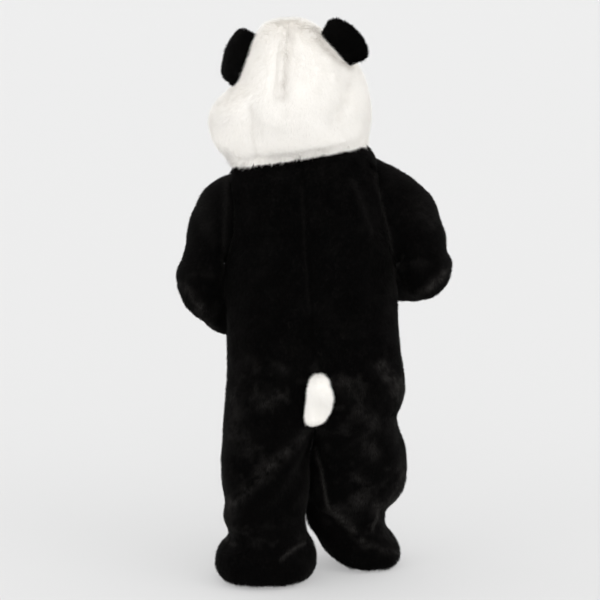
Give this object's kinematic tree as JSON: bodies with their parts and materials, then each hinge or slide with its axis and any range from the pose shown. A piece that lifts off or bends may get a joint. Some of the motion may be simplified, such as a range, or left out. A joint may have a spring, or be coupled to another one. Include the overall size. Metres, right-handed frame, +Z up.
{
  "type": "panda costume",
  "caption": "Child's one-piece plush panda suit, worn and hollow: hood with padded ears, zipped front, bent sleeves, loose trouser legs and a short tail.",
  "frame": {"origin": "between the shoulders at the foot of the neck, where the wearer carries the suit", "axes": "+Z up, -Y the way the wearer faces, +X the wearer's left"},
  "size_m": [0.4205, 0.2963, 0.8679],
  "materials": {
    "black_plush": "black short-pile plush on a knitted back, matt",
    "white_plush": "warm white plush on a knitted back, matt, longer in the pile",
    "zip_tape": "black woven tape with a closed nylon coil",
    "nickel": "plain nickel plate, satin"
  },
  "bodies": {
    "suit": {"back_left": "black_plush", "back_right": "black_plush", "front_left": "black_plush", "front_right": "black_plush", "sleeve_left": "black_plush", "sleeve_right": "black_plush", "hood_back_left": "white_plush", "hood_back_right": "white_plush", "hood_front": "white_plush", "ear_left": "black_plush", "ear_right": "black_plush", "tail": "white_plush", "zip_tape_and_coil": "zip_tape", "zip_slider": "nickel"},
    "pull": {"zip_pull": "nickel"}
  },
  "joints": [
    {"name": "pull_hinge", "type": "hinge", "parent": "suit", "child": "pull", "pos_m": [0, -0.09377, 0.01445], "axis": [1, 0, 0], "range_deg": [-110, 0]}
  ]
}
